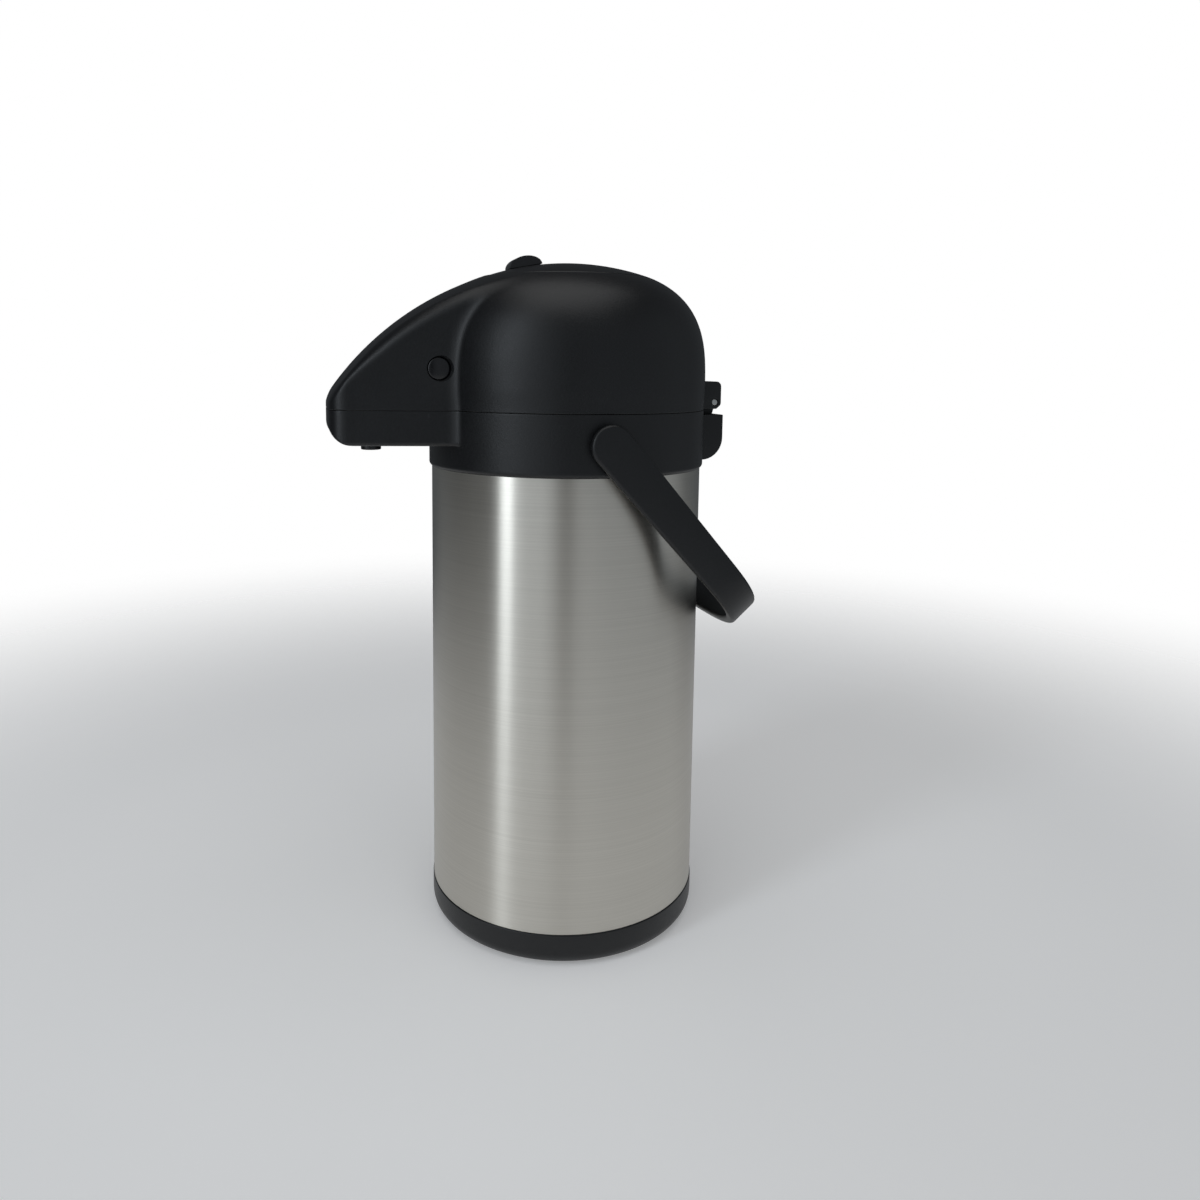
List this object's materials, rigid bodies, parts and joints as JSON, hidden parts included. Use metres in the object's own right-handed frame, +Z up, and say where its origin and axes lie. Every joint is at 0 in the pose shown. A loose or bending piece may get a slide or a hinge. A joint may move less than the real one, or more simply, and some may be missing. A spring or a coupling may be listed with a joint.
{
  "type": "thermal airpot",
  "caption": "Push-button vacuum airpot with a brushed steel body, a hinged beak-spout lid with push pad and bellows pump, and a swinging bail handle.",
  "frame": {"origin": "centre of the flat base, on the axis of the steel body, on the surface it stands on", "axes": "+Z up along the body's axis, -Y towards the spout, X across the handle's pivots"},
  "size_m": [0.174, 0.2327, 0.3827],
  "materials": {
    "black_plastic": "satin, finely textured moulded polypropylene",
    "gloss_black_plastic": "gloss moulded",
    "inner_plastic": "plain moulded polypropylene",
    "ivory_plastic": "natural moulded",
    "black_rubber": "moulded silicone rubber",
    "brushed_steel": "brushed round the body",
    "bright_steel": "bright zinc plated or drawn",
    "silvered_glass": "silvered blown glass"
  },
  "bodies": {
    "body": {"base_ring": "black_plastic", "base_plate": "inner_plastic", "base_screws": "bright_steel", "flask_cushion": "black_rubber", "steel_shell": "brushed_steel", "flask_outer_bottle": "silvered_glass", "flask_inner_bottle": "silvered_glass", "flask_inner_shoulder": "silvered_glass", "flask_inner_neck": "silvered_glass", "neck_gasket": "black_rubber", "pouring_funnel": "inner_plastic", "funnel_screws": "bright_steel", "collar": "black_plastic", "dip_tube": "ivory_plastic", "tube_elbow": "inner_plastic", "elbow_seal": "black_rubber", "spout_hose": "ivory_plastic", "spout_nozzle": "black_plastic", "hinge_bracket": "black_plastic", "hinge_screws": "bright_steel", "hinge_pin": "bright_steel"},
    "handle": {"handle": "black_plastic", "handle_clips": "bright_steel"},
    "lid": {"lid_shell": "black_plastic", "lid_plate": "inner_plastic", "lid_screws": "bright_steel", "lid_gasket": "black_rubber", "air_valve": "black_rubber", "bellows": "black_rubber", "bellows_spring": "bright_steel", "latch_spring_left": "bright_steel", "latch_spring_right": "bright_steel"},
    "pad": {"bellows_plate": "ivory_plastic", "push_pad": "black_plastic"},
    "knob": {"lock_knob": "gloss_black_plastic", "lock_foot": "ivory_plastic"},
    "latch_left": {"latch_button_left": "black_plastic"},
    "latch_right": {"latch_button_right": "black_plastic"}
  },
  "joints": [
    {"name": "lid_hinge", "type": "hinge", "parent": "body", "child": "lid", "pos_m": [0, 0.0868, 0.3006], "axis": [-1, 0, 0], "range_deg": [0, 100]},
    {"name": "pad_press", "type": "slide", "parent": "lid", "child": "pad", "axis": [0, 0, -1], "range_m": [0, 0.02], "stiffness_N_per_m": 600, "springref_m": -0.005, "deforming": ["bellows", "bellows_spring"]},
    {"name": "lock_slide", "type": "slide", "parent": "pad", "child": "knob", "axis": [0, -0.9816, -0.1908], "range_m": [0, 0.008]},
    {"name": "latch_left_press", "type": "slide", "parent": "lid", "child": "latch_left", "axis": [-1, 0, 0], "range_m": [0, 0.003], "stiffness_N_per_m": 500, "springref_m": -0.002, "deforming": ["latch_spring_left"]},
    {"name": "latch_right_press", "type": "slide", "parent": "lid", "child": "latch_right", "axis": [1, 0, 0], "range_m": [0, 0.003], "stiffness_N_per_m": 500, "springref_m": -0.002, "deforming": ["latch_spring_right"]},
    {"name": "handle_swing", "type": "hinge", "parent": "body", "child": "handle", "pos_m": [0, 0, 0.281], "axis": [1, 0, 0], "range_deg": [0, 195]}
  ]
}
